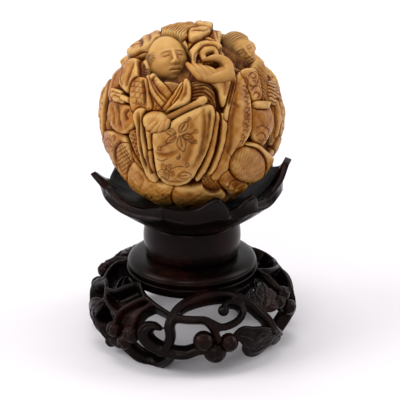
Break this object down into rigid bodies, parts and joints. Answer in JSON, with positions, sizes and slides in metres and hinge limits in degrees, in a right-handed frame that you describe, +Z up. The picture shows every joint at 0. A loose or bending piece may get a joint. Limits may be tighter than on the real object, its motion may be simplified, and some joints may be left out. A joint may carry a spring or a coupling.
{
  "type": "carved ball on stand",
  "caption": "Carved ivory ball with figures in high relief, resting in a lotus-petal cup on a short drum neck and a pierced, scrolling hardwood foot.",
  "frame": {"origin": "bottom centre of the stand, on the surface that it stands on", "axes": "+Z up through the neck and the ball, -Y towards the front figure's side, +X to the viewer's right"},
  "size_m": [0.0684, 0.0708, 0.1048],
  "materials": {
    "ivory": "satin polish, amber patina with brown stain in the cuts",
    "dark_hardwood": "waxed, near-black brown with a soft sheen",
    "peg_wood": "bare, turned"
  },
  "bodies": {
    "stand": {"pierced_base": "dark_hardwood", "collar": "dark_hardwood", "neck_drum": "dark_hardwood", "lotus_cup": "dark_hardwood", "centre_peg": "peg_wood"},
    "ball": {"ivory_ball": "ivory"}
  },
  "joints": [
    {"name": "ball_lift", "type": "slide", "parent": "stand", "child": "ball", "axis": [0, 0, 1], "range_m": [0, 0.07]}
  ]
}
